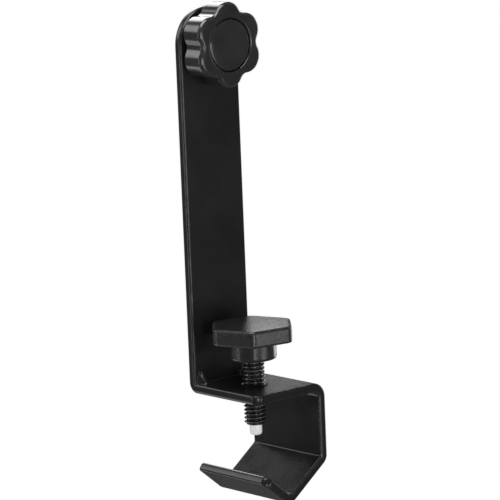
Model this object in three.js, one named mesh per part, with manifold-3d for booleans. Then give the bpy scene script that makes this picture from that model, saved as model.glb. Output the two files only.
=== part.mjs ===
// Headphone hook: a formed steel bracket that clamps on a tube, with a clamp screw and a star knob.
//
// Millimetres, +Z up. The origin is on the clamp screw's axis, level with the lowest point inside
// the V jaw. +X runs along the jaw, out of the upright strap's front face. +Y runs towards the web
// that joins the shelf to the jaw.

import * as THREE from 'three';
import { mergeVertices } from 'three/addons/utils/BufferGeometryUtils.js';
import Module from 'manifold-3d';

// ---- driving dimensions -------------------------------------------------------------------

const STOCK = 3.2; // steel thickness
const FOOT_BEND = 0.4; // inside radius of the bend from strap to shelf
const WEB_BEND = 2.0; // inside radius of the bend from shelf to web
const JAW_BEND = 0.8; // inside radius of the jaw's two bends
const STRAP_W = 26.4; // width of the upright strap and of the shelf's flat
const STRAP_FRONT = -16.0; // strap's front face from the clamp screw's axis
const SHELF_FRONT = 15.9; // shelf's front edge from the clamp screw's axis
const SHELF_TOP = 37.2; // shelf's top above the tube seat
const STRAP_EYE = 119.4; // star knob's axis above the shelf's top
const WEB_OUT = 19.2; // web's outer face
const WEB_DROP = 28.05; // shelf's top to the corner of web and jaw, outside
const JAW_SLOPE = 36.4; // jaw plate below the horizontal, degrees
const LIP_SLOPE = 39.6; // lip above the horizontal, degrees
const FOLD_Y = 1.0; // outside corner between jaw plate and lip
const LIP_LENGTH = 15.5; // lip from that corner to its free edge
const WEB_BACK = -19.8; // web's back edge
const CORNER_R = 3.0; // front corners of shelf and lip, seen square on
const LIP_BACK_R = 1.0; // back corner of the lip
const RELIEF_X = 3.4; // relief notch ends this far in front of the strap's front face
const RELIEF_DROP = 7.4; // relief notch depth below the shelf's top
const RELIEF_R = 1.4; // round in the notch's corner
const COLLAR_R = 4.85; // raised rim of the tapped hole
const COLLAR_H = 0.45;
const DART_YS = [-10.4, 10.4]; // pressed darts across the inside of the strap's bend
const DART_REACH = 5.2; // up the strap and out along the shelf
const DART_HALF = 1.7; // half a dart's width
const DART_ROOT = 0.4; // how deep a dart's body is sunk in the sheet
const DART_END = 0.3; // how far a dart still stands proud at its ends

const THREAD_R = 3.95; // plain core that stands for the 5/16-18 thread
const HOLE_R = 4.05; // tapped holes, bored plain
const THREAD_CHAMFER = 0.6; // at the free end of a thread
const HEX_HEAD_AF = 12.7; // bolt heads
const HEX_HEAD_H = 5.2;
const GAP = 0.3; // between pieces that touch
const PAST = 1; // how far a cut or a joined body runs past the face it meets

const SCREW_END = 23.25; // lower end of the clamp screw's thread above the seat
const TIP_R = 2.2;
const TIP_END = 19.3;
const TIP_EDGE = 0.7; // rounding of the tip's end
const TIP_STEM_R = 1.4;
const TIP_STEM_H = 3.0;
const TIP_STEM_FIT = 0.1; // around the stem in its socket

const HUB_R = 8.4; // clamp knob
const HUB_EDGE = 1.2; // rounding of the hub's foot
const HUB_LOW = SHELF_TOP + 9.4;
const HEX_LOW = SHELF_TOP + 15.9;
const HEX_TOP = SHELF_TOP + 22.0;
const HEX_AF = 27.6;
const HEX_CORNER_R = 3.0;
const HEX_TURN = -40; // direction of one corner at rest, degrees from +X
const HEX_EDGE = 1.2; // rounding of the rim
const HEAD_LOW = SHELF_TOP + 12.2;

const LOBES = 6; // star knob
const LOBE_TIP_R = 15.0;
const LOBE_R = 6.0;
const VALLEY_R = 12.6;
const STAR_BACK = STRAP_FRONT + 1.7;
const STAR_BOSS = STRAP_FRONT + 1.35;
const STAR_FRONT = STRAP_FRONT + 10.85;
const STAR_EDGE = 1.4;
const BOSS_R = 8.6;
const BACK_RING_R = 10.6; // hollow behind the head, around the boss
const BACK_RING_DEPTH = 4.5;
const CAP_R = 9.15;
const CAP_DEPTH = 1.9;
const CAP_CROWN = 0.35;
const CAP_EDGE = 0.5; // bevel round the cap's face
const UNDER_HEAD = STRAP_FRONT + 3.85;
const BOLT_LENGTH = 12.7;
const WASHER_R = 7.0;
const WASHER_BORE = 4.25;
const WASHER_T = 0.75;

const ARC = 8; // steps of a quarter bend
const ROUND = 48; // steps of a full circle
const HEX_ARC = 6; // steps of a hexagon's rounded corner
const LOBE_ARC = 14; // steps round a lobe
const HOLLOW_ARC = 6; // steps round the hollow between two lobes

// The first of two steps that stand for a rounded edge, as a share of its radius.
const EDGE_STEP = 1 - Math.SQRT1_2;

const EYE_Z = SHELF_TOP + STRAP_EYE;

// Colour, roughness and metalness.
const POWDER_COAT = [0x161618, 0.3, 0.4];
const BLACK_OXIDE = [0x1b1b1d, 0.35, 0.8];
const TEXTURED_PLASTIC = [0x232324, 0.55, 0.0];
const SMOOTH_PLASTIC = [0x1c1c1d, 0.35, 0.0];
const WHITE_NYLON = [0xe4e4e0, 0.5, 0.0];

// ---- solids: three.js geometry in, three.js geometry out ------------------------------------

const wasm = await Module();
wasm.setup();

const rad = (degrees) => (degrees * Math.PI) / 180;

function solid(geometry) {
  const plain = geometry.clone();
  plain.deleteAttribute('normal');
  plain.deleteAttribute('uv');
  const merged = mergeVertices(plain, 1e-5);
  const mesh = new wasm.Mesh({
    numProp: 3,
    vertProperties: new Float32Array(merged.attributes.position.array),
    triVerts: new Uint32Array(merged.index.array),
  });
  return new wasm.Manifold(mesh);
}

function geometryOf(manifold) {
  const mesh = manifold.getMesh();
  const geometry = new THREE.BufferGeometry();
  geometry.setAttribute('position', new THREE.BufferAttribute(new Float32Array(mesh.vertProperties), 3));
  geometry.setIndex(new THREE.BufferAttribute(new Uint32Array(mesh.triVerts), 1));
  geometry.computeVertexNormals();
  return geometry;
}

// Puts each vertex's three numbers in a new order, so that turned prisms keep exact coordinates.
function reorder(geometry, place) {
  const position = geometry.attributes.position;
  for (let i = 0; i < position.count; i += 1) {
    const moved = place(position.getX(i), position.getY(i), position.getZ(i));
    position.setXYZ(i, moved[0], moved[1], moved[2]);
  }
  return geometry;
}

function prism(shape, depth, steps = ARC) {
  return new THREE.ExtrudeGeometry(shape, { depth, bevelEnabled: false, curveSegments: steps });
}

// A shape drawn in (y, z), as a prism from x0 to x1.
function prismX(shape, x0, x1, steps) {
  return solid(reorder(prism(shape, x1 - x0, steps), (y, z, x) => [x + x0, y, z]));
}

// A shape drawn in (x, z), as a prism from y0 to y1.
function prismY(shape, y0, y1, steps) {
  return solid(reorder(prism(shape, y1 - y0, steps), (x, z, y) => [x, y1 - y, z]));
}

// A shape drawn in (x, y), as a prism from z0 to z1.
function prismZ(shape, z0, z1, steps) {
  return solid(reorder(prism(shape, z1 - z0, steps), (x, y, z) => [x, y, z + z0]));
}

function circle(radius, cx = 0, cy = 0) {
  const shape = new THREE.Shape();
  shape.absarc(cx, cy, radius, 0, 2 * Math.PI, false);
  return shape;
}

function hexagon(acrossFlats, turn) {
  const corner = acrossFlats / 2 / Math.cos(rad(30));
  const points = [];
  for (let k = 0; k < 6; k += 1) {
    const a = rad(turn + 60 * k);
    points.push(new THREE.Vector2(corner * Math.cos(a), corner * Math.sin(a)));
  }
  return new THREE.Shape(points);
}

// A closed polygon whose corners are rounded: points are [a, b, radius].
function roundedShape(points, steps = ARC) {
  const outline = [];
  const count = points.length;
  for (let i = 0; i < count; i += 1) {
    const here = new THREE.Vector2(points[i][0], points[i][1]);
    const before = new THREE.Vector2(...points[(i + count - 1) % count].slice(0, 2)).sub(here).normalize();
    const after = new THREE.Vector2(...points[(i + 1) % count].slice(0, 2)).sub(here).normalize();
    const radius = points[i][2] || 0;
    if (radius === 0) {
      outline.push(here);
    } else {
      const half = before.angleTo(after) / 2;
      const middle = before.clone().add(after).normalize().multiplyScalar(radius / Math.sin(half)).add(here);
      const start = before.clone().multiplyScalar(radius / Math.tan(half)).add(here).sub(middle);
      const sweep = Math.PI - 2 * half;
      const side = Math.sign(before.cross(after));
      for (let k = 0; k <= steps; k += 1) {
        const spoke = start.clone().rotateAround(new THREE.Vector2(), (side * -1 * sweep * k) / steps);
        outline.push(spoke.add(middle));
      }
    }
  }
  return new THREE.Shape(outline);
}

function mesh(name, manifold, [color, roughness, metalness]) {
  const material = new THREE.MeshStandardMaterial({ color, roughness, metalness });
  const piece = new THREE.Mesh(geometryOf(manifold), material);
  piece.name = name;
  return piece;
}

// ---- bracket --------------------------------------------------------------------------------

// The outside line of shelf, web, jaw plate and lip in (y, z), from the shelf's edge to the lip's.
const slopeDown = new THREE.Vector2(-Math.cos(rad(JAW_SLOPE)), -Math.sin(rad(JAW_SLOPE)));
const slopeUp = new THREE.Vector2(-Math.cos(rad(LIP_SLOPE)), Math.sin(rad(LIP_SLOPE)));
const cornerWeb = new THREE.Vector2(WEB_OUT, SHELF_TOP - WEB_DROP);
const jawLength = (WEB_OUT - FOLD_Y) / Math.cos(rad(JAW_SLOPE));
const cornerFold = cornerWeb.clone().addScaledVector(slopeDown, jawLength);
const lipEnd = cornerFold.clone().addScaledVector(slopeUp, LIP_LENGTH);

// The same corner on the inside: both neighbouring faces moved in by the stock's thickness.
function inside(corner, along, onward) {
  const half = Math.acos(-along.dot(onward)) / 2;
  const inward = onward.clone().sub(along).normalize();
  return corner.clone().addScaledVector(inward, STOCK / Math.sin(half));
}

function bentProfile() {
  const down = new THREE.Vector2(0, -1);
  const across = new THREE.Vector2(1, 0);
  const innerTop = inside(new THREE.Vector2(WEB_OUT, SHELF_TOP), across, down);
  const innerWeb = inside(cornerWeb, down, slopeDown);
  const innerFold = inside(cornerFold, slopeDown, slopeUp);
  const edgeIn = new THREE.Vector2(-slopeUp.y, slopeUp.x).multiplyScalar(-STOCK).add(lipEnd);
  return roundedShape([
    [-STRAP_W / 2, SHELF_TOP - STOCK, 0],
    [innerTop.x, innerTop.y, WEB_BEND],
    [innerWeb.x, innerWeb.y, JAW_BEND],
    [innerFold.x, innerFold.y, JAW_BEND],
    [edgeIn.x, edgeIn.y, 0],
    [lipEnd.x, lipEnd.y, 0],
    [cornerFold.x, cornerFold.y, JAW_BEND + STOCK],
    [cornerWeb.x, cornerWeb.y, JAW_BEND + STOCK],
    [WEB_OUT, SHELF_TOP, WEB_BEND + STOCK],
    [-STRAP_W / 2, SHELF_TOP, 0],
  ]);
}

// A square column less a quarter round: taking it away rounds one corner of a plate.
function cornerCutter(x, y, radius, turn) {
  const c = Math.cos(rad(turn));
  const s = Math.sin(rad(turn));
  const at = (u, v) => new THREE.Vector2(x + u * c - v * s, y + u * s + v * c);
  const outline = [at(0, -radius), at(PAST, -radius), at(PAST, PAST), at(-radius, PAST), at(-radius, 0)];
  for (let k = 1; k < ARC; k += 1) {
    const a = Math.PI / 2 - (Math.PI / 2) * (k / ARC);
    outline.push(at(-radius + radius * Math.cos(a), -radius + radius * Math.sin(a)));
  }
  return new THREE.Shape(outline.reverse());
}

function clampHook() {
  const back = STRAP_FRONT + FOOT_BEND;
  let hook = prismX(bentProfile(), WEB_BACK, SHELF_FRONT);

  // Relief: the shelf starts at the strap's bend, and the web's bend clears the strap.
  const notchX = STRAP_FRONT + RELIEF_X;
  const behind = roundedShape([
    [WEB_BACK - PAST, SHELF_TOP + PAST, 0],
    [WEB_BACK - PAST, SHELF_TOP - RELIEF_DROP, 0],
    [notchX, SHELF_TOP - RELIEF_DROP, RELIEF_R],
    [notchX, SHELF_TOP + PAST, 0],
  ]);
  hook = hook.subtract(prismY(behind, STRAP_W / 2 - PAST, WEB_OUT + PAST));
  const shelfBack = roundedShape([
    [WEB_BACK - PAST, SHELF_TOP - STOCK - PAST, 0],
    [back, SHELF_TOP - STOCK - PAST, 0],
    [back, SHELF_TOP + PAST, 0],
    [WEB_BACK - PAST, SHELF_TOP + PAST, 0],
  ]);
  hook = hook.subtract(prismY(shelfBack, -STRAP_W / 2 - PAST, STRAP_W / 2));

  // Rounded corners of the shelf and of the lip.
  const shelfCorner = cornerCutter(SHELF_FRONT, -STRAP_W / 2, CORNER_R, -90);
  hook = hook.subtract(prismZ(shelfCorner, SHELF_TOP - STOCK - PAST, SHELF_TOP + PAST));
  for (const [x, turn, radius] of [[SHELF_FRONT, -90, CORNER_R], [WEB_BACK, 180, LIP_BACK_R]]) {
    const cutter = prism(cornerCutter(x, 0, radius, turn), 3 * STOCK);
    cutter.translate(0, 0, -1.5 * STOCK);
    cutter.rotateX(rad(-LIP_SLOPE));
    cutter.translate(0, lipEnd.x, lipEnd.y);
    hook = hook.subtract(solid(cutter));
  }
  return hook;
}

function uprightStrap() {
  const back = STRAP_FRONT - STOCK;
  const reach = STRAP_FRONT + FOOT_BEND;
  const top = EYE_Z + STRAP_W / 2;
  const side = roundedShape([
    [back, top, 0],
    [back, SHELF_TOP - STOCK, FOOT_BEND + STOCK],
    [reach + PAST, SHELF_TOP - STOCK, 0],
    [reach + PAST, SHELF_TOP, 0],
    [STRAP_FRONT, SHELF_TOP, FOOT_BEND],
    [STRAP_FRONT, top, 0],
  ]);
  const strap = prismY(side, -STRAP_W / 2, STRAP_W / 2);
  const face = new THREE.Shape();
  face.moveTo(-STRAP_W / 2, SHELF_TOP - 2 * STOCK);
  face.lineTo(STRAP_W / 2, SHELF_TOP - 2 * STOCK);
  face.lineTo(STRAP_W / 2, EYE_Z);
  face.absarc(0, EYE_Z, STRAP_W / 2, 0, Math.PI, false);
  return strap.intersect(prismX(face, back - PAST, reach + 2 * PAST, ROUND / 2));
}

function dart(y) {
  const inX = STRAP_FRONT - DART_ROOT;
  const inZ = SHELF_TOP - DART_ROOT;
  const side = roundedShape([
    [inX, inZ, 0],
    [inX, SHELF_TOP + DART_REACH, 0],
    [STRAP_FRONT + DART_END, SHELF_TOP + DART_REACH, 0],
    [STRAP_FRONT + DART_REACH, SHELF_TOP + DART_END, 0],
    [STRAP_FRONT + DART_REACH, inZ, 0],
  ]);
  return prismY(side, y - DART_HALF, y + DART_HALF);
}

function bracket() {
  let body = clampHook().add(uprightStrap());
  for (const y of DART_YS) {
    body = body.add(dart(y));
  }
  const collarTop = SHELF_TOP + COLLAR_H;
  body = body.add(prismZ(circle(COLLAR_R), SHELF_TOP - PAST, collarTop, ROUND / 2));
  body = body.subtract(prismZ(circle(HOLE_R), SHELF_TOP - STOCK - PAST, collarTop + PAST, ROUND / 2));
  return body.subtract(prismX(aboutEye(HOLE_R), STRAP_FRONT - STOCK - PAST, STRAP_FRONT + PAST, ROUND / 2));
}

// ---- clamp screw, tip and hexagonal knob ------------------------------------------------------

function turned(points) {
  const profile = points.map(([r, z]) => new THREE.Vector2(r, z));
  const geometry = new THREE.LatheGeometry(profile, ROUND);
  return solid(reorder(geometry, (x, z, y) => [x, -y, z]));
}

// A thread's plain core from its chamfered free end into the head above it.
function threadCore(end, head) {
  return turned([
    [0, end],
    [THREAD_R - THREAD_CHAMFER, end],
    [THREAD_R, end + THREAD_CHAMFER],
    [THREAD_R, head + PAST],
    [0, head + PAST],
  ]);
}

function clampScrew() {
  const shank = threadCore(SCREW_END, HEAD_LOW);
  const head = prismZ(hexagon(HEX_HEAD_AF, HEX_TURN), HEAD_LOW, HEAD_LOW + HEX_HEAD_H);
  const socketTop = SCREW_END + TIP_STEM_H + GAP;
  const socket = prismZ(circle(TIP_STEM_R + TIP_STEM_FIT), SCREW_END - PAST, socketTop, ROUND / 4);
  return shank.add(head).subtract(socket);
}

function screwTip() {
  const shoulder = SCREW_END - GAP / 3;
  return turned([
    [0, TIP_END],
    [TIP_R - TIP_EDGE, TIP_END],
    [TIP_R - TIP_EDGE * EDGE_STEP, TIP_END + TIP_EDGE * EDGE_STEP],
    [TIP_R, TIP_END + TIP_EDGE],
    [TIP_R, shoulder],
    [TIP_STEM_R, shoulder],
    [TIP_STEM_R, SCREW_END + TIP_STEM_H],
    [0, SCREW_END + TIP_STEM_H],
  ]);
}

function clampKnob() {
  const corner = HEX_AF / 2 / Math.cos(rad(30));
  const outline = (inset) => {
    const points = [];
    for (let k = 0; k < 6; k += 1) {
      const a = rad(HEX_TURN + 60 * k);
      const r = corner - inset / Math.cos(rad(30));
      points.push([r * Math.cos(a), r * Math.sin(a), HEX_CORNER_R - inset]);
    }
    return roundedShape(points, HEX_ARC);
  };
  // Two steps stand for the rounded rim of the hexagon.
  const step = HEX_EDGE * EDGE_STEP;
  let knob = prismZ(outline(0), HEX_LOW + HEX_EDGE, HEX_TOP - HEX_EDGE);
  knob = knob.add(prismZ(outline(step), HEX_LOW + step, HEX_TOP - step));
  knob = knob.add(prismZ(outline(HEX_EDGE), HEX_LOW, HEX_TOP));
  knob = knob.add(turned([
    [0, HUB_LOW],
    [HUB_R - HUB_EDGE, HUB_LOW],
    [HUB_R - HUB_EDGE * EDGE_STEP, HUB_LOW + HUB_EDGE * EDGE_STEP],
    [HUB_R, HUB_LOW + HUB_EDGE],
    [HUB_R, HEX_LOW + PAST],
    [0, HEX_LOW + PAST],
  ]));
  const pocketLow = HEAD_LOW - GAP / 2;
  const pocketTop = HEAD_LOW + HEX_HEAD_H + GAP / 2;
  knob = knob.subtract(prismZ(hexagon(HEX_HEAD_AF + GAP, HEX_TURN), pocketLow, pocketTop));
  return knob.subtract(prismZ(circle(THREAD_R + GAP / 2), HUB_LOW - PAST, pocketLow + PAST, ROUND / 2));
}

// ---- star knob --------------------------------------------------------------------------------

// Six round lobes joined by hollows, each arc tangent to the next, in (y, z) about the eye.
function starOutline(inset) {
  const lobeAt = LOBE_TIP_R - LOBE_R;
  const half = Math.PI / LOBES;
  // The hollow's radius follows from the valley's depth and the tangent lobes.
  const chord = lobeAt ** 2 + VALLEY_R ** 2 - 2 * lobeAt * VALLEY_R * Math.cos(half);
  const hollow = (chord - LOBE_R ** 2) / (2 * (LOBE_R - VALLEY_R + lobeAt * Math.cos(half)));
  const hollowAt = VALLEY_R + hollow;
  const lobeSweep = Math.atan2(hollowAt * Math.sin(half), hollowAt * Math.cos(half) - lobeAt);
  const hollowSweep = lobeSweep - half;
  const outline = [];
  const arc = (at, centreAngle, radius, from, to, steps) => {
    for (let i = 0; i < steps; i += 1) {
      const b = centreAngle + from + ((to - from) * i) / steps;
      outline.push(new THREE.Vector2(
        at * Math.cos(centreAngle) + radius * Math.cos(b),
        at * Math.sin(centreAngle) + radius * Math.sin(b) + EYE_Z,
      ));
    }
  };
  for (let k = 0; k < LOBES; k += 1) {
    const a = Math.PI / 2 + 2 * half * k;
    arc(lobeAt, a, LOBE_R - inset, -lobeSweep, lobeSweep, LOBE_ARC);
    arc(hollowAt, a + half, -hollow - inset, hollowSweep, -hollowSweep, HOLLOW_ARC);
  }
  return new THREE.Shape(outline);
}

function aboutEye(radius) {
  return circle(radius, 0, EYE_Z);
}

function eyeHexagon(acrossFlats) {
  const points = hexagon(acrossFlats, 0).getPoints();
  return new THREE.Shape(points.map((p) => new THREE.Vector2(p.x, p.y + EYE_Z)));
}

function starKnob() {
  const step = STAR_EDGE * EDGE_STEP;
  let knob = prismX(starOutline(0), STAR_BACK, STAR_FRONT - STAR_EDGE);
  knob = knob.add(prismX(starOutline(step), STAR_BACK, STAR_FRONT - step));
  knob = knob.add(prismX(starOutline(STAR_EDGE), STAR_BACK, STAR_FRONT));
  const ringEnd = STAR_BACK + BACK_RING_DEPTH;
  const capSeat = STAR_FRONT - CAP_DEPTH;
  knob = knob.subtract(prismX(aboutEye(BACK_RING_R), STAR_BACK - PAST, ringEnd, ROUND / 2));
  knob = knob.add(prismX(aboutEye(BOSS_R), STAR_BOSS, ringEnd + PAST, ROUND / 2));
  knob = knob.subtract(prismX(aboutEye(CAP_R + GAP), capSeat, STAR_FRONT + PAST, ROUND / 2));
  knob = knob.subtract(prismX(eyeHexagon(HEX_HEAD_AF + GAP), UNDER_HEAD - GAP / 2, capSeat + PAST));
  return knob.subtract(prismX(aboutEye(THREAD_R + GAP / 2), STAR_BOSS - PAST, UNDER_HEAD + PAST, ROUND / 2));
}

function starKnobCap() {
  const back = STAR_FRONT - CAP_DEPTH + GAP / 2;
  const face = STAR_FRONT - CAP_CROWN;
  const share = 0.6; // of the radius, where the crown's slope changes
  const cap = turned([
    [0, back],
    [CAP_R, back],
    [CAP_R, face - CAP_EDGE],
    [CAP_R - CAP_EDGE, face],
    [CAP_R * share, STAR_FRONT - CAP_CROWN * share ** 2],
    [0, STAR_FRONT],
  ]);
  return standUp(cap);
}

// Turns a piece made about Z so that it lies along X on the eye's axis.
function standUp(manifold) {
  const geometry = reorder(geometryOf(manifold), (x, y, z) => [z, y, EYE_Z - x]);
  return solid(geometry);
}

function starKnobBolt() {
  const shank = standUp(threadCore(UNDER_HEAD - BOLT_LENGTH, UNDER_HEAD));
  const capBack = STAR_FRONT - CAP_DEPTH;
  return shank.add(prismX(eyeHexagon(HEX_HEAD_AF), UNDER_HEAD, capBack - GAP / 2));
}

function knobWasher() {
  const back = STRAP_FRONT + GAP;
  const front = back + WASHER_T;
  const disc = prismX(aboutEye(WASHER_R), back, front, ROUND / 2);
  return disc.subtract(prismX(aboutEye(WASHER_BORE), back - PAST, front + PAST, ROUND / 2));
}

// ---- the assembly -----------------------------------------------------------------------------

const hook = new THREE.Group();
hook.add(mesh('bracket', bracket(), POWDER_COAT));
hook.add(mesh('screw_tip', screwTip(), WHITE_NYLON));
hook.add(mesh('clamp_screw', clampScrew(), BLACK_OXIDE));
hook.add(mesh('clamp_knob', clampKnob(), TEXTURED_PLASTIC));
hook.add(mesh('knob_washer', knobWasher(), TEXTURED_PLASTIC));
hook.add(mesh('star_knob', starKnob(), SMOOTH_PLASTIC));
hook.add(mesh('star_knob_cap', starKnobCap(), SMOOTH_PLASTIC));
hook.add(mesh('star_knob_bolt', starKnobBolt(), BLACK_OXIDE));

export default hook;
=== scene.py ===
"""Headphone hook: detailed meshes, materials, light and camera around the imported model.

Lengths are in millimetres in the sections that shape the pieces, and become metres when a mesh
is made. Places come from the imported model's boxes.
"""
from math import acos, atan2, ceil, cos, hypot, pi, radians, sin, sqrt, tan

import bmesh
import bpy
from mathutils import Matrix, Vector
from mathutils.geometry import delaunay_2d_cdt


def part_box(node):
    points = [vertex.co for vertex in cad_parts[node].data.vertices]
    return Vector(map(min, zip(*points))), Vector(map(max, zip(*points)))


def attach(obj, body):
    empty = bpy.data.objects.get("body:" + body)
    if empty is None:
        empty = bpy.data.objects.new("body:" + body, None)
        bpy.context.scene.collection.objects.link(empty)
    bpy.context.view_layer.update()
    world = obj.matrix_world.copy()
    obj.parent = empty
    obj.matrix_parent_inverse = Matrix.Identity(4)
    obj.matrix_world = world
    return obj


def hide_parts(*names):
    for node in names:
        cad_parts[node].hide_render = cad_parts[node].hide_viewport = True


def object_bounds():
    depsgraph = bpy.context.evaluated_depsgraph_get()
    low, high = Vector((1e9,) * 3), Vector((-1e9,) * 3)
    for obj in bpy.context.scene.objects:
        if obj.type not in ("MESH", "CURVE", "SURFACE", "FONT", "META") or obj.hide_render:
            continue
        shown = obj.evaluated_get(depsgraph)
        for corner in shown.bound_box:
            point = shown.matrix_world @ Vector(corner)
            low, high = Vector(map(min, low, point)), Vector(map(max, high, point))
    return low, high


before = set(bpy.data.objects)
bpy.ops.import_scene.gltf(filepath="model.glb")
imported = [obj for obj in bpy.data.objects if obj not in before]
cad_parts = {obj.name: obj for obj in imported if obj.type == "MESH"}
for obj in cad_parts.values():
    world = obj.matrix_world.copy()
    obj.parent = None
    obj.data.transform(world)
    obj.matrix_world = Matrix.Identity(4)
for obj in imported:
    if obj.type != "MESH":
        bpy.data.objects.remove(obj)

MM = 0.001
cad_low, cad_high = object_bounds()


def corners_mm(node):
    low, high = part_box(node)
    return low / MM, high / MM


# ---- places and sizes ---------------------------------------------------------------------------

bracket_low, bracket_high = corners_mm("bracket")
screw_low, screw_high = corners_mm("clamp_screw")
tip_low, tip_high = corners_mm("screw_tip")
knob_low, knob_high = corners_mm("clamp_knob")
star_low, star_high = corners_mm("star_knob")
cap_low, cap_high = corners_mm("star_knob_cap")
bolt_low, bolt_high = corners_mm("star_knob_bolt")
washer_low, washer_high = corners_mm("knob_washer")

QUARTER = pi / 2

STOCK = 3.2  # thickness of the steel
FOOT_BEND = 0.4  # inside radius of the bend from strap to shelf
WEB_BEND = 2.0  # the same from shelf to web
JAW_BEND = 0.8  # the same for the jaw's two bends
STRAP_HALF = -bracket_low.y
STRAP_BACK = bracket_low.x
STRAP_FRONT = STRAP_BACK + STOCK
SHELF_FRONT = bracket_high.x
SHELF_TOP = 37.2
WEB_OUT = bracket_high.y
WEB_BACK = -19.8
EYE_Z = bracket_high.z - STRAP_HALF
WEB_DROP = 28.05
JAW_SLOPE = radians(36.4)
LIP_SLOPE = radians(39.6)
FOLD_Y = 1.0
LIP_LENGTH = 15.5
RELIEF_X = STRAP_FRONT + 3.4
RELIEF_DROP = 7.4
RELIEF_R = 1.4
FOOT_R = 1.0  # the strap's foot beside the relief notch
FRONT_R = 3.0  # front corners of shelf and lip
LIP_BACK_R = 1.0
WEB_BACK_R = 1.6
HOLE_R = 4.05
COLLAR_R = 4.7  # the raised rim of the tapped hole
COLLAR_H = 0.45
COLLAR_FALL = 0.7
DART_Y = 10.4
DART_LENGTH = 6.0
DART_WIDTH = 2.7
DART_DEPTH = 3.0
DART_END = 0.25  # a dart's width at its ends as a share of its greatest width

PITCH = 25.4 / 18
THREAD_MAJOR = 3.95
THREAD_MINOR = 3.15
END_CHAMFER = 0.85
HEX_HEAD_AF = 12.7  # both bolts' heads, across their flats
HEX_HEAD_H = 5.2
BOLT_HEAD_H = 4.95
HEAD_CHAMFER = 0.6
HEAD_CORNER = 1.13  # a head's corners are turned down to this times half its width across flats
HEAD_FIT = 0.15  # room between a bolt's head and its pocket
POCKET_R = HEX_HEAD_AF * 0.6
KNOB_BORE = THREAD_MAJOR + 0.2
HEX_AF = 27.6
HEX_CORNER_R = 3.0
HEX_TURN = radians(-40.0)
HUB_R = 8.4
HUB_H = 6.5
LOBES = 6
LOBE_R = 6.0
LOBE_TIP_R = star_high.z - EYE_Z
VALLEY_R = 12.6

ROUND = 96  # points of a full circle
COLUMNS = 72  # points round a thread and a bolt's head
AXIS_R = 0.02  # the smallest ring of a turned piece


# ---- outlines -----------------------------------------------------------------------------------


def rounded(corners, steps=6, closed=True, inset=0.0):
    """Points (a, b, edge) along a polygon with corners (a, b, radius), counter-clockwise.

    inset moves every side inwards. edge rises from 0 to 1 and back round each small convex corner.
    """
    spots = [Vector(corner[:2]) for corner in corners]
    last = len(spots) - 1
    points = []
    for i, (a, b, radius) in enumerate(corners):
        if not closed and i in (0, last):
            points.append((a, b, 0.0))
            continue
        here = spots[i]
        back = (spots[i - 1] - here).normalized()
        onward = (spots[(i + 1) % len(spots)] - here).normalized()
        convex = onward.x * back.y - onward.y * back.x > 0
        side_in = Vector((back.y, -back.x))
        side_out = Vector((-onward.y, onward.x))
        here = here + (side_in + side_out) * (inset / (1 + side_in.dot(side_out)))
        radius = radius - inset if convex else radius + inset
        if radius < 1e-6:
            points.append((here.x, here.y, 1.0 if convex else 0.0))
            continue
        half = acos(max(-1.0, min(1.0, back.dot(onward)))) / 2
        centre = here + (back + onward).normalized() * (radius / sin(half))
        spoke = here + back * (radius / tan(half)) - centre
        sweep = (pi - 2 * half) * (1 if convex else -1)
        small = 1.0 if convex and radius < 2.0 else 0.0
        for k in range(steps + 1):
            turn = Matrix.Rotation(sweep * k / steps, 2)
            spot = centre + turn @ spoke
            points.append((spot.x, spot.y, small * sin(pi * k / steps)))
    return points


def circle(radius, count=ROUND, centre=(0.0, 0.0)):
    bearings = [2 * pi * k / count for k in range(count)]
    return [(centre[0] + radius * cos(a), centre[1] + radius * sin(a)) for a in bearings]


def quarter(steps):
    """Angles from 0 to a quarter turn."""
    return [QUARTER * k / steps for k in range(steps + 1)]


def round_like(outline, radius):
    """A circle whose points stand at the bearings of the outline's points."""
    return [(radius * a / hypot(a, b), radius * b / hypot(a, b)) for a, b in outline]


def hexagon(across_flats, corner_r, inset, turn, steps=10):
    """A rounded hexagon's outline; the same number of points for every inset."""
    corner = across_flats / 2 / cos(radians(30))
    spots = []
    for k in range(6):
        a = turn + radians(60) * k
        spots.append((corner * cos(a), corner * sin(a), corner_r))
    points = [(a, b) for a, b, _ in rounded(spots, steps, inset=inset)]
    # Three more points on each flat let the rings under the head turn smoothly into circles.
    full = []
    for i, here in enumerate(points):
        full.append(here)
        if i % (steps + 1) == steps:
            after = points[(i + 1) % len(points)]
            for share in (0.25, 0.5, 0.75):
                full.append(tuple(p + (q - p) * share for p, q in zip(here, after)))
    return full


def star(inset, lobe_steps=26, hollow_steps=10):
    """Six round lobes joined by hollows, each arc tangent to the next, in (y, z) about the eye."""
    lobe_at = LOBE_TIP_R - LOBE_R
    half = pi / LOBES
    chord = lobe_at ** 2 + VALLEY_R ** 2 - 2 * lobe_at * VALLEY_R * cos(half)
    hollow = (chord - LOBE_R ** 2) / (2 * (LOBE_R - VALLEY_R + lobe_at * cos(half)))
    hollow_at = VALLEY_R + hollow
    lobe_sweep = atan2(hollow_at * sin(half), hollow_at * cos(half) - lobe_at)
    hollow_sweep = lobe_sweep - half
    points = []

    def arc(at, middle, radius, start, end, steps):
        for i in range(steps):
            b = middle + start + (end - start) * i / steps
            points.append((at * cos(middle) + radius * cos(b), at * sin(middle) + radius * sin(b)))

    for k in range(LOBES):
        a = pi / 2 + 2 * half * k
        arc(lobe_at, a, LOBE_R - inset, -lobe_sweep, lobe_sweep, lobe_steps)
        arc(hollow_at, a + half, -hollow - inset, hollow_sweep, -hollow_sweep, hollow_steps)
    return points


# ---- meshes -------------------------------------------------------------------------------------


def write_edges(build, edges):
    """Stores each vertex's edge value, which the materials read as the attribute edge."""
    layer = build.verts.layers.float.new("edge")
    for vert, edge in zip(build.verts, edges):
        vert[layer] = edge
    return layer


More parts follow.
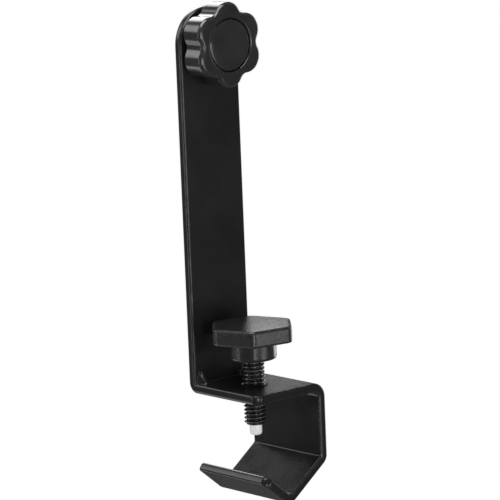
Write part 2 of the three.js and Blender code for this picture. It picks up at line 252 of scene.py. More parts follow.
def finish_mesh(name, build, edges):
    """Turns a bmesh in millimetres into a smooth, closed piece with its edge attribute."""
    bmesh.ops.recalc_face_normals(build, faces=build.faces)
    write_edges(build, edges)
    bmesh.ops.remove_doubles(build, verts=build.verts, dist=1e-5)
    bmesh.ops.scale(build, verts=build.verts, vec=(MM, MM, MM))
    for face in build.faces:
        face.smooth = True
    mesh = bpy.data.meshes.new(name)
    build.to_mesh(mesh)
    build.free()
    piece = bpy.data.objects.new(name, mesh)
    bpy.context.scene.collection.objects.link(piece)
    weighted = piece.modifiers.new("weighted_normals", "WEIGHTED_NORMAL")
    weighted.mode = "FACE_AREA"
    weighted.weight = 60
    return piece


def skin(name, rings, closed=False):
    """A surface through rings of (points, edge). Open ends are capped; closed joins last to first."""
    build = bmesh.new()
    edges = []
    loops = []
    for points, edge in rings:
        loops.append([build.verts.new(point) for point in points])
        edges.extend([edge] * len(points))
    pairs = list(zip(loops, loops[1:]))
    if closed:
        pairs.append((loops[-1], loops[0]))
    for one, other in pairs:
        count = len(one)
        for i in range(count):
            j = (i + 1) % count
            build.faces.new((one[i], one[j], other[j], other[i]))
    if not closed:
        build.faces.new(loops[0])
        build.faces.new(loops[-1])
    return finish_mesh(name, build, edges)


def turned(profile, place, count=ROUND):
    """Rings of a turned piece: profile is (radius, height, edge), place puts (a, b, height) in space."""
    rings = []
    for radius, height, edge in profile:
        radius = max(radius, AXIS_R)
        rings.append(([place(a, b, height) for a, b in circle(radius, count)], edge))
    return rings


def upright(a, b, height):
    return (a, b, height)


def about_eye(a, b, height):
    return (height, a, EYE_Z + b)


# ---- bracket: a flat blank with its two faces, folded -------------------------------------------

jaw_turn = QUARTER - JAW_SLOPE
fold_turn = JAW_SLOPE + LIP_SLOPE
jaw_tangent = (JAW_BEND + STOCK) * tan(jaw_turn / 2)
fold_tangent = (JAW_BEND + STOCK) * tan(fold_turn / 2)
web_straight = WEB_DROP - WEB_BEND - STOCK - jaw_tangent
jaw_straight = (WEB_OUT - FOLD_Y) / cos(JAW_SLOPE) - jaw_tangent - fold_tangent
lip_straight = LIP_LENGTH - fold_tangent
strap_straight = bracket_high.z - SHELF_TOP - FOOT_BEND

# Where the flat of the shelf ends, towards the web and towards the strap.
WEB_SIDE = WEB_OUT - WEB_BEND - STOCK
STRAP_SIDE = STRAP_FRONT + FOOT_BEND

# Each leg is a straight length, the turn after it (left is positive) and that bend's inside radius.
WEB_LEGS = [
    (0.0, -QUARTER, WEB_BEND),
    (web_straight, -jaw_turn, JAW_BEND),
    (jaw_straight, -fold_turn, JAW_BEND),
    (lip_straight, 0.0, 0.0),
]
STRAP_LEGS = [(0.0, QUARTER, FOOT_BEND), (strap_straight, 0.0, 0.0)]


def bend_length(turn, inner):
    """Length of a bend along the middle of the sheet."""
    return (inner + STOCK / 2) * abs(turn)


def walk(legs, start, distance, depth):
    """Where a point of the blank comes to lie once the sheet is folded along legs."""
    spot = Vector(start)
    heading = 0.0
    for straight, turn, inner in legs:
        along = Vector((cos(heading), sin(heading)))
        normal = Vector((-along.y, along.x))
        if distance <= straight or turn == 0.0:
            return spot + along * distance + normal * depth
        distance -= straight
        spot = spot + along * straight
        side = 1 if turn > 0 else -1
        centre = spot + normal * (inner if side > 0 else -inner - STOCK)
        length = bend_length(turn, inner)
        rotation = Matrix.Rotation(turn * min(distance / length, 1.0), 2)
        spot = centre + rotation @ (spot - centre)
        if distance <= length:
            return spot + (rotation @ normal) * depth
        distance -= length
        heading += turn
    return spot


def leg_length(legs):
    return sum(straight + bend_length(turn, inner) for straight, turn, inner in legs)


WEB_END = WEB_SIDE + leg_length(WEB_LEGS)
STRAP_END = STRAP_SIDE - leg_length(STRAP_LEGS)
EYE_U = STRAP_END + STRAP_HALF
RELIEF_V = WEB_SIDE + bend_length(QUARTER, WEB_BEND) + RELIEF_DROP - WEB_BEND - STOCK
DART_MIDDLE = STRAP_SIDE - bend_length(QUARTER, FOOT_BEND) / 2


def hump(offset, reach):
    """1 at the middle, 0 from reach outwards, smooth between."""
    return cos(QUARTER * min(abs(offset) / reach, 1.0)) ** 2


def dart_push(u, v):
    """How far a point is pressed along +X and along +Z. A dart is narrower towards its two ends."""
    along = hump(u - DART_MIDDLE, DART_LENGTH)
    across = hump(abs(v) - DART_Y, DART_WIDTH * (DART_END + (1 - DART_END) * along))
    return DART_DEPTH * along * across * sqrt(0.5)


def folded(u, v, depth):
    """A point of the blank, depth below its upper face, in the folded bracket."""
    rise = COLLAR_H * hump(max(hypot(u, v) - COLLAR_R, 0.0), COLLAR_FALL)
    depth = depth + rise * (1 + depth / STOCK)
    if u < RELIEF_X and v < (STRAP_HALF + RELIEF_V) / 2:
        a, z = walk(STRAP_LEGS, (-STRAP_SIDE, SHELF_TOP), STRAP_SIDE - u, depth)
        push = dart_push(u, v)
        return (-a + push, v, z + push)
    if u < STRAP_SIDE + DART_LENGTH and v < WEB_SIDE:
        push = dart_push(u, v)
        return (u + push, v, SHELF_TOP + depth + push)
    y, z = walk(WEB_LEGS, (WEB_SIDE, SHELF_TOP), v - WEB_SIDE, depth)
    return (u, y, z)


def spread(start, end, step):
    """Evenly spaced values from start to end, no further apart than step."""
    count = max(1, ceil(abs(end - start) / step))
    return [start + (end - start) * i / count for i in range(count + 1)]


BLANK = [
    (SHELF_FRONT, -STRAP_HALF, FRONT_R),
    (SHELF_FRONT, WEB_END, FRONT_R),
    (WEB_BACK, WEB_END, LIP_BACK_R),
    (WEB_BACK, RELIEF_V, WEB_BACK_R),
    (RELIEF_X, RELIEF_V, RELIEF_R),
    (RELIEF_X, STRAP_HALF, FOOT_R),
    (STRAP_END, STRAP_HALF, STRAP_HALF),
    (STRAP_END, -STRAP_HALF, STRAP_HALF),
]
NOSE = 0.8  # how far the rounding of a cut edge reaches in from it
NOSE_STEPS = 16
CROWN = 0.72  # 1 is a half ellipse, and less is a squarer edge
CORNER_STEPS = 14
HOLE_NOSE = 0.45  # how far the rounding reaches round the holes
HOLE_STEPS = 64
ROW_STEP = 0.45  # between rows along the web's and the jaw's bends
STRAP_ROW_STEP = 0.42  # between rows across the darts
DART_STEP = 0.3  # between the points of such a row where it crosses a dart
COLLAR_STEP = 0.1
CORNER_GAP = 0.2  # rows end on the outline only this far from its rounded corners


def bend_rows():
    """Where the rows along the web's and the jaw's bends lie."""
    rows = []
    station = WEB_SIDE
    for straight, turn, inner in WEB_LEGS[:-1]:
        station += straight
        rows += spread(station, station + bend_length(turn, inner), ROW_STEP)
        station += bend_length(turn, inner)
    return rows


web_rows = bend_rows()
strap_rows = spread(DART_MIDDLE - DART_LENGTH, DART_MIDDLE + DART_LENGTH, STRAP_ROW_STEP)


def blank_loop(inset):
    """The blank's outline with extra points where the bends' rows end on its straight sides."""
    base = rounded(BLANK, CORNER_STEPS)
    moved = rounded(BLANK, CORNER_STEPS, inset=inset)
    loop = []
    for i, (a, b, _) in enumerate(moved):
        loop.append((a, b))
        if i % (CORNER_STEPS + 1) < CORNER_STEPS:
            continue
        after = base[(i + 1) % len(base)]
        across = abs(base[i][1] - after[1]) < 1e-3
        axis, rows = (0, strap_rows) if across else (1, web_rows)
        start, end = base[i][axis], after[axis]
        for r in sorted(rows, reverse=start > end):
            if min(start, end) + CORNER_GAP < r < max(start, end) - CORNER_GAP:
                loop.append((r, b) if across else (a, r))
    return loop


def row_points(flat, lines):
    """Adds polylines of points inside the blank; each line's ends may lie on the outline."""
    spots, edges = flat
    for line in lines:
        first = len(spots)
        spots.extend(Vector(point) for point in line)
        edges.extend((first + i, first + i + 1) for i in range(len(line) - 1))


def fold_rows():
    """Rows of points along the bends, close together where the darts rise."""
    lines = []
    for v in web_rows:
        back = WEB_BACK + NOSE if v > RELIEF_V + 2 else RELIEF_X + 2.2
        lines.append([(back, v), (SHELF_FRONT - NOSE, v)])
    edge = STRAP_HALF - NOSE
    dart = spread(DART_Y - DART_WIDTH, DART_Y + DART_WIDTH, DART_STEP)
    inner = [v for v in dart if v < edge - 0.1]
    across = [-edge] + [-v for v in reversed(inner)] + [0.0] + inner + [edge]
    for u in strap_rows:
        end = edge if u < RELIEF_X - 1.2 else edge - 0.25
        lines.append([(u, min(v, end)) for v in across])
    return lines


def cut_edge():
    """A cut edge's section as (how far out, depth, edge), from the upper face to the lower."""
    section = []
    for k in range(NOSE_STEPS + 1):
        t = QUARTER - pi * k / NOSE_STEPS
        side = 1 if t > 0 else -1
        out = max(cos(t), 0.0) ** CROWN
        section.append((out, (side * abs(sin(t)) ** CROWN - 1) * STOCK / 2, 4 * (out - out ** 2)))
    return section


def cut_borders():
    """Rings of (points, depth, edge) along the cut edges: the outline's, then each hole's."""
    section = cut_edge()
    borders = [[(blank_loop(NOSE * (1 - out)), depth, edge) for out, depth, edge in section]]
    for centre in ((0.0, 0.0), (EYE_U, 0.0)):
        rings = []
        for out, depth, edge in section:
            radius = HOLE_R + HOLE_NOSE * (1 - out)
            rings.append((circle(radius, HOLE_STEPS, centre), depth, edge / 2))
        borders.append(rings)
    return borders


def on_blank(point, outline):
    """Whether a point is inside the outline, by an even-odd test, and clear of both holes."""
    clear = HOLE_R + HOLE_NOSE - 0.01
    if hypot(point.x, point.y) < clear or hypot(point.x - EYE_U, point.y) < clear:
        return False
    hit = False
    for (ax, ay), (bx, by) in zip(outline, outline[1:] + outline[:1]):
        if (ay > point.y) != (by > point.y) and point.x < (bx - ax) * (point.y - ay) / (by - ay) + ax:
            hit = not hit
    return hit


def flat_face(borders):
    """The blank's flat face: its points, its faces, and which point each border point became."""
    flat = ([], [])
    for rings in borders:
        loop = rings[0][0]
        first = len(flat[0])
        flat[0].extend(Vector(point) for point in loop)
        flat[1].extend((first + i, first + (i + 1) % len(loop)) for i in range(len(loop)))
    border = len(flat[0])
    row_points(flat, fold_rows())
    for radius in spread(COLLAR_R, COLLAR_R + COLLAR_FALL, COLLAR_STEP):
        ring = circle(radius, HOLE_STEPS)
        row_points(flat, [ring + ring[:1]])
    spots, _, faces, origins, _, _ = delaunay_2d_cdt(flat[0], flat[1], [], 0, 1e-4)

    outline = borders[0][0][0]
    kept = []
    for face in faces:
        centre = sum((spots[i] for i in face), Vector((0.0, 0.0))) / len(face)
        if on_blank(centre, outline):
            kept.append(face)
    where = {}
    for i, sources in enumerate(origins):
        for source in sources:
            if source < border:
                where[source] = i
    return spots, kept, where


def bracket_mesh():
    borders = cut_borders()
    spots, faces, where = flat_face(borders)
    build = bmesh.new()
    upper = [build.verts.new(folded(p.x, p.y, 0.0)) for p in spots]
    lower = [build.verts.new(folded(p.x, p.y, -STOCK)) for p in spots]
    edges = [0.0] * (2 * len(spots))
    for face in faces:
        build.faces.new([upper[i] for i in face])
        build.faces.new([lower[i] for i in reversed(face)])
    first = 0
    for rings in borders:
        count = len(rings[0][0])
        loops = [[upper[where[first + i]] for i in range(count)]]
        for points, depth, edge in rings[1:-1]:
            loops.append([build.verts.new(folded(a, b, depth)) for a, b in points])
            edges.extend([edge] * count)
        loops.append([lower[where[first + i]] for i in range(count)])
        for one, other in zip(loops, loops[1:]):
            for i in range(count):
                j = (i + 1) % count
                if one[i] is not one[j] and other[i] is not other[j]:
                    build.faces.new((one[i], one[j], other[j], other[i]))
        first += count
    loose = [vert for vert in build.verts if not vert.link_faces]
    kept = [edge for vert, edge in zip(build.verts, edges) if vert.link_faces]
    bmesh.ops.delete(build, geom=loose, context="VERTS")
    return finish_mesh("bracket_sheet", build, kept)


# ---- threads ------------------------------------------------------------------------------------

# One turn of the thread's outline: (share of the pitch, share of the depth, edge).
THREAD = [
    (0.00, 1.00, 1.0),
    (0.07, 0.97, 0.8),
    (0.18, 0.70, 0.1),
    (0.30, 0.34, 0.0),
    (0.42, 0.04, 0.0),
    (0.50, 0.00, 0.0),
    (0.58, 0.04, 0.0),
    (0.70, 0.34, 0.0),
    (0.82, 0.70, 0.1),
    (0.93, 0.97, 0.8),
]


def threaded(name, low, high, head, place):
    """A threaded shank from low to high with head rings after it. The thread starts at low."""
    build = bmesh.new()
    edges = []
    per_turn = len(THREAD)
    turns = ceil((high - low) / PITCH) + 2
    start = low - PITCH
    grid = []
    for row in range(turns * per_turn):
        share, depth, edge = THREAD[row % per_turn]
        line = []
        for column in range(COLUMNS):
            a = 2 * pi * column / COLUMNS
            height = start + PITCH * (row // per_turn + share + column / COLUMNS)
            radius = THREAD_MINOR + (THREAD_MAJOR - THREAD_MINOR) * depth
            height = min(max(height, low), high)
            radius = min(radius, THREAD_MAJOR - END_CHAMFER + (height - low))
            if height >= high:
                radius = THREAD_MINOR
            line.append(build.verts.new(place(radius * cos(a), radius * sin(a), height)))
            edges.append(edge)
        grid.append(line)
    for row in range(len(grid) - 1):
        for column in range(COLUMNS - 1):
            build.faces.new((
                grid[row][column],
                grid[row][column + 1],
                grid[row + 1][column + 1],
                grid[row + 1][column],
            ))
        if row + per_turn + 1 < len(grid):
            build.faces.new((
                grid[row][-1],
                grid[row + per_turn][0],
                grid[row + per_turn + 1][0],
                grid[row + 1][-1],
            ))

    def ring(points, edge):
        edges.extend([edge] * len(points))
        return [build.verts.new(point) for point in points]

    def join(one, other):
        for i in range(COLUMNS):
            j = (i + 1) % COLUMNS
            build.faces.new((one[i], one[j], other[j], other[i]))

    # The head's first ring is made before the shank's end, because the order in which points are
    # made decides whose edge value is kept where points are merged.
    last = ring(*head[0])
    join(ring([place(a, b, high) for a, b in circle(THREAD_MINOR, COLUMNS)], 0.0), last)
    for points, edge in head[1:]:
        following = ring(points, edge)
        join(last, following)
        last = following
    build.faces.new(last)
    end = [place(a, b, low) for a, b in circle(THREAD_MAJOR - END_CHAMFER, COLUMNS)]
    build.faces.new(ring(end, 0.0))
    layer = write_edges(build, edges)
    bmesh.ops.remove_doubles(build, verts=build.verts, dist=2e-4)
    bmesh.ops.dissolve_degenerate(build, edges=build.edges, dist=1e-5)
    kept = [vert[layer] for vert in build.verts]
    build.verts.layers.float.remove(layer)
    return finish_mesh(name, build, kept)


def hex_head(low, height, turn, place):
    """Rings of a bolt's hexagon head, chamfered at its outer end."""

    def ring(across_flats, at):
        half = across_flats / 2
        points = []
        for k in range(COLUMNS):
            a = 2 * pi * k / COLUMNS
            within = (a - turn + radians(30)) % radians(60) - radians(30)
            radius = min(half / cos(radians(30) - abs(within)), half * HEAD_CORNER)
            points.append(place(radius * cos(a), radius * sin(a), at))
        return points

    return [
        (ring(HEX_HEAD_AF, low), 0.3),
        (ring(HEX_HEAD_AF, low + height - HEAD_CHAMFER), 0.6),
        (ring(HEX_HEAD_AF - 2 * HEAD_CHAMFER, low + height), 0.3),
    ]


# ---- the other pieces ---------------------------------------------------------------------------


def clamp_knob_mesh():
    hub_low = knob_low.z
    hex_low = hub_low + HUB_H
    top = knob_high.z
    crown = 0.12  # rise of the top's middle over its rim
    rim = 1.2  # rounding of the hexagon's upper edge
    under = 0.9  # rounding of its lower edge
    fillet = 0.5  # between hexagon and hub
    foot = 1.1  # rounding of the hub's lower edge
    mouth = 0.4  # chamfer of the bore
    centre_r = 0.05
    rings = []

    def hex_ring(inset, height, edge):
        outline = hexagon(HEX_AF, HEX_CORNER_R, inset, HEX_TURN)
        rings.append(([(a, b, height) for a, b in outline], edge))

    inner_hexagon = hexagon(HEX_AF, HEX_CORNER_R, 2.0, HEX_TURN)

    def round_ring(radius, height, edge=0.0):
        rings.append(([(a, b, height) for a, b in round_like(inner_hexagon, radius)], edge))

    round_ring(centre_r, top)
    round_ring(6.0, top - crown * 0.2)
    round_ring(9.5, top - crown * 0.6)
    for t in quarter(8):
        hex_ring(rim * (1 - sin(t)), top - crown - (rim - crown) * (1 - cos(t)), sin(2 * t))
    for t in quarter(8):
        hex_ring(under * (1 - cos(t)), hex_low + under * (1 - sin(t)), 0.7 * sin(2 * t))
    # The hub draws in a little towards the hexagon.
    for t in quarter(4):
        round_ring(HUB_R - 0.12 + fillet * (1 - sin(t)), hex_low - fillet * (1 - cos(t)))
    for t in quarter(7):
        round_ring(HUB_R - foot * (1 - cos(t)), hub_low + foot * (1 - sin(t)), 0.6 * sin(2 * t))
    round_ring(KNOB_BORE + mouth, hub_low, 0.3)
    round_ring(KNOB_BORE, hub_low + mouth)
    pocket_low = screw_high.z - HEX_HEAD_H - HEAD_FIT
    pocket_high = screw_high.z + HEAD_FIT
    round_ring(KNOB_BORE, pocket_low)
    round_ring(POCKET_R, pocket_low)
    round_ring(POCKET_R, pocket_high)
    round_ring(centre_r, pocket_high)
    return skin("clamp_knob_moulding", rings)


def star_knob_mesh():
    back = star_low.x
    front = star_high.x
    rim = back + 0.35  # the lobes end a little in front of the boss
    nose = 1.5  # rounding of the star's front edge
    hollow_r = 10.6  # the ring-shaped hollow behind the lobes
    hollow_end = rim + 4.15
    seat_r = cap_high.y + 0.22  # the recess that the cap sits in
    seat = cap_low.x - 0.15
    head_low = bolt_high.x - BOLT_HEAD_H - HEAD_FIT
    inner_star = star(2.0)
    rings = []

    def star_ring(inset, at, edge=0.0):
        rings.append(([about_eye(a, b, at) for a, b in star(inset)], edge))

    def round_ring(radius, at, edge=0.0):
        rings.append(([about_eye(a, b, at) for a, b in round_like(inner_star, radius)], edge))

    round_ring(seat_r, seat)
    round_ring(seat_r, front - 0.6)
    for t in quarter(5):
        round_ring(seat_r + 0.5 * (1 - cos(t)), front - 0.08 - 0.5 * (1 - sin(t)), 0.5 * sin(2 * t))
    star_ring(nose + 0.35, front - 0.02)
    for t in quarter(10):
        star_ring(nose * (1 - sin(t)), front - nose * (1 - cos(t)), 0.8 * sin(2 * t))
    # The sides draw in a little towards the back, where the mould parts.
    star_ring(0.12, (front + back) / 2)
    for t in quarter(4):
        star_ring(0.2 + 0.5 * (1 - cos(t)), rim + 0.5 * (1 - sin(t)), 0.6 * sin(2 * t))
    round_ring(hollow_r + 0.3, rim, 0.3)
    round_ring(hollow_r, rim + 0.3)
    round_ring(hollow_r - 0.3, hollow_end)
    # The boss between the hollow and the bore, with a chamfered end.
    round_ring(8.8, hollow_end)
    round_ring(8.6, back + 0.3)
    round_ring(8.3, back, 0.3)
    round_ring(KNOB_BORE, back)
    round_ring(KNOB_BORE, head_low)
    round_ring(POCKET_R, head_low)
    round_ring(POCKET_R, seat)
    return skin("star_knob_moulding", rings, closed=True)


def star_cap_mesh():
    radius = cap_high.y
    edge = 0.95  # rounding of the rim
    dome = 0.3  # rise of the middle over the rim
    top = cap_high.x - dome
    profile = [(AXIS_R, cap_low.x, 0.0), (radius, cap_low.x, 0.0)]
    for t in quarter(8):
        profile.append((radius - edge * (1 - cos(t)), top - edge * (1 - sin(t)), 0.7 * sin(2 * t)))
    for share in (0.8, 0.6, 0.4, 0.2, 0.0):
        profile.append((radius * share, cap_high.x - dome * share ** 2, 0.0))
    return skin("star_cap_disc", turned(profile, about_eye))


def washer_mesh():
    outer = washer_high.y
    bore = 4.25
    soft = 0.22  # rounding of its edges
    corners = [
        (bore, washer_low.x, soft),
        (outer, washer_low.x, soft),
        (outer, washer_high.x, soft),
        (bore, washer_high.x, soft),
    ]
    return skin("washer_ring", turned(rounded(corners, 5), about_eye), closed=True)


def tip_mesh():
    radius = tip_high.x
    stem = 1.4
    shoulder = screw_low.z - 0.1  # just below the screw's end
    corners = [
        (AXIS_R, tip_low.z, 0.0),
        (radius, tip_low.z, 1.1),
        (radius, shoulder, 0.12),
        (stem, shoulder, 0.0),
        (stem, tip_high.z, 0.2),
        (AXIS_R, tip_high.z, 0.0),
    ]
    return skin("nylon_plug", turned(rounded(corners, 8, closed=False), upright, 64))


def screw_mesh():
    head_low = screw_high.z - HEX_HEAD_H
    head = hex_head(head_low, HEX_HEAD_H, HEX_TURN, upright)
    return threaded("clamp_screw_thread", screw_low.z, head_low, head, upright)


def bolt_mesh():
    head_low = bolt_high.x - BOLT_HEAD_H
    head = hex_head(head_low, BOLT_HEAD_H, 0.0, about_eye)
    return threaded("star_bolt_thread", bolt_low.x, head_low, head, about_eye)


# ---- materials ----------------------------------------------------------------------------------


class Nodes:
    """A material's node tree, with one method for each kind of node it uses."""

    def __init__(self, name):
        self.material = bpy.data.materials.new(name)
        self.material.use_nodes = True
        self.tree = self.material.node_tree
        self.shader = self.tree.nodes["Principled BSDF"]
        self.place = self.tree.nodes.new("ShaderNodeTexCoord").outputs["Object"]

    def link(self, output, target):
        self.tree.links.new(output, target)

    def noise(self, scale, detail=4.0, rough=0.55):
        node = self.tree.nodes.new("ShaderNodeTexNoise")
        node.inputs["Scale"].default_value = scale
        node.inputs["Detail"].default_value = detail
        node.inputs["Roughness"].default_value = rough
        self.link(self.place, node.inputs["Vector"])
        return node.outputs["Fac"]

    def cells(self, scale):
        node = self.tree.nodes.new("ShaderNodeTexVoronoi")
        node.inputs["Scale"].default_value = scale
        self.link(self.place, node.inputs["Vector"])
        return node.outputs["Distance"]

    def span(self, value, low, high, start=0.35, end=0.65):
        node = self.tree.nodes.new("ShaderNodeMapRange")
        node.inputs["From Min"].default_value = start
        node.inputs["From Max"].default_value = end
        node.inputs["To Min"].default_value = low
        node.inputs["To Max"].default_value = high
        self.link(value, node.inputs["Value"])
        return node.outputs["Result"]

    def blend(self, share, one, other):
        node = self.tree.nodes.new("ShaderNodeMix")
        node.data_type = "RGBA"
        self.link(share, node.inputs["Factor"])
        for socket, colour in ((node.inputs["A"], one), (node.inputs["B"], other)):
            if isinstance(colour, tuple):
                socket.default_value = colour + (1.0,)
            else:
                self.link(colour, socket)
        return node.outputs["Result"]

    def times(self, one, other):
        node = self.tree.nodes.new("ShaderNodeMath")
        node.operation = "MULTIPLY"
        self.link(one, node.inputs[0])
        self.link(other, node.inputs[1])
        return node.outputs["Value"]

    def edge(self):
        node = self.tree.nodes.new("ShaderNodeAttribute")
        node.attribute_name = "edge"
        return node.outputs["Fac"]

    def bump(self, height, distance, strength, before=None):
        node = self.tree.nodes.new("ShaderNodeBump")
        node.inputs["Distance"].default_value = distance
        node.inputs["Strength"].default_value = strength
        self.link(height, node.inputs["Height"])
        if before is not None:
            self.link(before, node.inputs["Normal"])
        return node.outputs["Normal"]

    def finish(self, colour, roughness, normal):
        self.link(colour, self.shader.inputs["Base Color"])
        self.link(roughness, self.shader.inputs["Roughness"])
        self.link(normal, self.shader.inputs["Normal"])
        return self.material


def powder_coat():
    """Semi-gloss black powder coat: a slight orange peel, thinner and greyer along the edges."""
    nodes = Nodes("powder_coat")
    cloud = nodes.blend(nodes.span(nodes.noise(45), 0, 1), (0.006, 0.006, 0.0065), (0.010, 0.010, 0.011))
    worn = nodes.times(nodes.edge(), nodes.span(nodes.noise(260, 6), 0.0, 0.5, 0.42, 0.7))
    colour = nodes.blend(worn, cloud, (0.045, 0.045, 0.047))
    peel = nodes.bump(nodes.noise(700, 2), 0.00008, 0.09)
    grain = nodes.bump(nodes.noise(5200, 3), 0.00002, 0.35, peel)
    nodes.shader.inputs["Specular IOR Level"].default_value = 0.3
    return nodes.finish(colour, nodes.span(nodes.noise(120, 5), 0.21, 0.26), grain)


def textured_plastic():
    """Black moulded plastic with a fine spark-eroded texture, polished a little on its edges."""
    nodes = Nodes("textured_plastic")
    speck = nodes.span(nodes.noise(1900, 3, 0.7), 0, 1, 0.4, 0.62)
    body = nodes.blend(speck, (0.007, 0.007, 0.0075), (0.015, 0.015, 0.016))
    rub = nodes.times(nodes.edge(), nodes.span(nodes.noise(220, 5), 0.1, 0.7))
    colour = nodes.blend(rub, body, (0.04, 0.04, 0.041))
    coarse = nodes.bump(nodes.noise(1300, 4, 0.7), 0.0001, 0.25)
    fine = nodes.bump(nodes.cells(3600), 0.00004, 0.25, coarse)
    nodes.shader.inputs["Specular IOR Level"].default_value = 0.42
    return nodes.finish(colour, nodes.span(nodes.noise(900, 4), 0.26, 0.36), fine)


def smooth_plastic(name):
    """Glossy black moulded plastic with faint flow marks and fine handling scratches."""
    nodes = Nodes(name)
    flow = nodes.span(nodes.noise(70, 3), 0, 1)
    colour = nodes.blend(flow, (0.010, 0.010, 0.010), (0.015, 0.015, 0.016))
    worn = nodes.times(nodes.edge(), nodes.span(nodes.noise(400, 6), 0.0, 0.6, 0.45, 0.7))
    colour = nodes.blend(worn, colour, (0.04, 0.04, 0.041))
    ripple = nodes.bump(nodes.noise(330, 3), 0.0001, 0.1)
    grain = nodes.bump(nodes.noise(4200, 4, 0.7), 0.000015, 0.2, ripple)
    return nodes.finish(colour, nodes.span(nodes.noise(260, 5), 0.15, 0.24), grain)


def black_oxide():
    """Oiled black oxide on steel, rubbed to grey metal along the thread's crests."""
    nodes = Nodes("black_oxide")
    cloud = nodes.blend(nodes.span(nodes.noise(300), 0, 1), (0.028, 0.027, 0.026), (0.05, 0.048, 0.046))
    rubbed = nodes.times(nodes.edge(), nodes.span(nodes.noise(700, 5), 0.1, 0.8))
    colour = nodes.blend(rubbed, cloud, (0.34, 0.335, 0.33))
    nodes.shader.inputs["Metallic"].default_value = 0.75
    grain = nodes.bump(nodes.noise(3000, 4), 0.00003, 0.4)
    return nodes.finish(colour, nodes.span(nodes.noise(500, 4), 0.2, 0.34), grain)


def nylon():
    """Natural white nylon, a little translucent and satin."""
    nodes = Nodes("nylon")
    colour = nodes.blend(nodes.span(nodes.noise(380), 0, 1), (0.66, 0.66, 0.65), (0.76, 0.76, 0.74))
    dirt = nodes.times(nodes.edge(), nodes.span(nodes.noise(900, 5), 0.0, 0.5))
    colour = nodes.blend(dirt, colour, (0.5, 0.49, 0.47))
    nodes.shader.inputs["Subsurface Weight"].default_value = 0.15
    nodes.shader.inputs["Subsurface Scale"].default_value = 0.001
    grain = nodes.bump(nodes.noise(2400, 3), 0.00004, 0.3)
    return nodes.finish(colour, nodes.span(nodes.noise(700, 3), 0.38, 0.5), grain)


# ---- the object ---------------------------------------------------------------------------------

gloss = smooth_plastic("smooth_plastic")
oxide = black_oxide()
textured = textured_plastic()

PIECES = [
    (bracket_mesh, powder_coat(), "frame", "bracket", "powder_coat"),
    (tip_mesh, nylon(), "tip", "screw_tip", "white_nylon"),
    (screw_mesh, oxide, "clamp", "clamp_screw", "black_oxide"),
    (clamp_knob_mesh, textured, "clamp", "clamp_knob", "textured_plastic"),
    (washer_mesh, textured, "washer", "knob_washer", "textured_plastic"),
    (star_knob_mesh, gloss, "star", "star_knob", "smooth_plastic"),
    (star_cap_mesh, gloss, "star", "star_knob_cap", "smooth_plastic"),
    (bolt_mesh, oxide, "star", "star_knob_bolt", "black_oxide"),
]

for make, finish, body, node, slot in PIECES:
    piece = make()
    piece.data.materials.append(finish)
    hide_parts(node)
    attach(piece, body)


# ---- floor, light and camera --------------------------------------------------------------------

FLOOR_DROP = 0.9  # the hook hangs on a tube, well above the floor
FLOOR_HALF = 18.0
FLOOR_GLOW = 0.87


def floor():
    mesh = bpy.data.meshes.new("floor")
    z = cad_low.z - FLOOR_DROP
    spots = [(-FLOOR_HALF, -FLOOR_HALF, z), (FLOOR_HALF, -FLOOR_HALF, z)]
    spots += [(FLOOR_HALF, FLOOR_HALF, z), (-FLOOR_HALF, FLOOR_HALF, z)]
    mesh.from_pydata(spots, [], [(0, 1, 2, 3)])
    plane = bpy.data.objects.new("floor", mesh)
    bpy.context.scene.collection.objects.link(plane)
    nodes = Nodes("pale_floor")
    nodes.shader.inputs["Base Color"].default_value = (0.92, 0.92, 0.92, 1.0)
    nodes.shader.inputs["Roughness"].default_value = 0.8
    nodes.shader.inputs["Emission Color"].default_value = (1.0, 1.0, 1.0, 1.0)
    nodes.shader.inputs["Emission Strength"].default_value = FLOOR_GLOW
    mesh.materials.append(nodes.material)
    # Black gloss would mirror the whole floor; it mirrors the dimmer surroundings instead.
    plane.visible_glossy = False


def softbox(name, aim, toward, distance, width, height, radiance, beam=90):
    """An area light that faces aim from a distance along toward. beam is half its spread in degrees."""
    lamp = bpy.data.lights.new(name, "AREA")
    lamp.shape = "RECTANGLE"
    lamp.size = width
    lamp.size_y = height
    lamp.energy = radiance * pi * width * height
    if beam < 90:
        # A narrower beam is brighter along its middle at the same power.
        lamp.spread = radians(2 * beam)
        lamp.energy *= 1 - radians(beam) / tan(radians(beam))
    holder = bpy.data.objects.new(name, lamp)
    direction = Vector(toward).normalized()
    holder.location = Vector(aim) + direction * distance
    holder.rotation_mode = "QUATERNION"
    holder.rotation_quaternion = direction.to_track_quat("Z", "Y")
    holder.visible_camera = False
    bpy.context.scene.collection.objects.link(holder)


def surroundings(level, seen):
    """An even white studio that lights at level and that the camera sees at the level of seen."""
    world = bpy.data.worlds.new("studio")
    world.use_nodes = True
    tree = world.node_tree
    background = tree.nodes["Background"]
    background.inputs["Color"].default_value = (1.0, 1.0, 1.0, 1.0)
    path = tree.nodes.new("ShaderNodeLightPath")
    strength = tree.nodes.new("ShaderNodeMapRange")
    strength.inputs["To Min"].default_value = level
    strength.inputs["To Max"].default_value = seen
    tree.links.new(path.outputs["Is Camera Ray"], strength.inputs["Value"])
    tree.links.new(strength.outputs["Result"], background.inputs["Strength"])
    bpy.context.scene.world = world


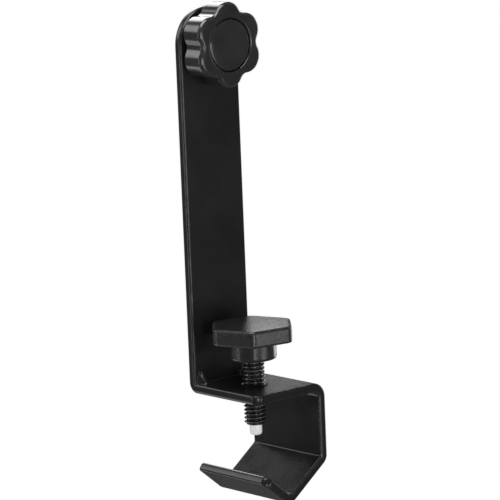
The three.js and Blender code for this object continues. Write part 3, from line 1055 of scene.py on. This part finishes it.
CAMERA_TURN = radians(48.78)
CAMERA_RISE = radians(10.01)
CAMERA_LEAN = radians(-2.3)
CAMERA_AIM = Vector((-14.38, 13.16, 81.76)) * MM
CAMERA_DISTANCE = 1121 * MM
CAMERA_LENS = 227.7


def camera():
    back = Vector((
        sin(CAMERA_TURN) * cos(CAMERA_RISE),
        -cos(CAMERA_TURN) * cos(CAMERA_RISE),
        sin(CAMERA_RISE),
    ))
    level = Vector((cos(CAMERA_TURN), sin(CAMERA_TURN), 0.0))
    above = back.cross(level)
    right = level * cos(CAMERA_LEAN) + above * sin(CAMERA_LEAN)
    up = back.cross(right)
    data = bpy.data.cameras.new("camera")
    data.lens = CAMERA_LENS
    data.clip_start = 0.05
    data.clip_end = 50.0
    holder = bpy.data.objects.new("camera", data)
    holder.matrix_world = Matrix((
        (right.x, up.x, back.x, 0.0),
        (right.y, up.y, back.y, 0.0),
        (right.z, up.z, back.z, 0.0),
        (0.0, 0.0, 0.0, 1.0),
    ))
    holder.location = CAMERA_AIM + back * CAMERA_DISTANCE
    bpy.context.scene.collection.objects.link(holder)
    bpy.context.scene.camera = holder


MIDDLE = (0.0, 0.0, 0.08)  # about the object's middle, in metres
NARROW = 45  # half the spread of a narrow beam, in degrees

floor()
surroundings(0.15, 1.0)
softbox("overhead", MIDDLE, (0.06, -0.26, 0.96), 0.32, 0.22, 0.22, 8.0)
softbox("rim", MIDDLE, (-0.74, 0.38, 0.54), 1.0, 0.6, 0.5, 7.2, NARROW)
softbox("right", MIDDLE, (0.96, 0.24, -0.15), 0.95, 0.3, 0.3, 6.0, NARROW)
softbox("rim_left", MIDDLE, (-0.74, -0.5, 0.46), 1.0, 0.4, 0.5, 4.0, NARROW)
softbox("key", MIDDLE, (0.87, -0.44, -0.04), 0.95, 0.14, 0.42, 20.0, NARROW)
softbox("left", MIDDLE, (-0.45, -0.88, -0.03), 0.95, 0.08, 0.42, 10.0, NARROW)
softbox("fill_back", MIDDLE, (-0.1, 1.0, 0.0), 1.1, 0.8, 0.7, 4.0, NARROW)
softbox("fill_low", MIDDLE, (-0.62, -0.48, -0.62), 1.0, 0.6, 0.5, 3.0, NARROW)
camera()
bpy.context.scene.view_settings.view_transform = "Standard"
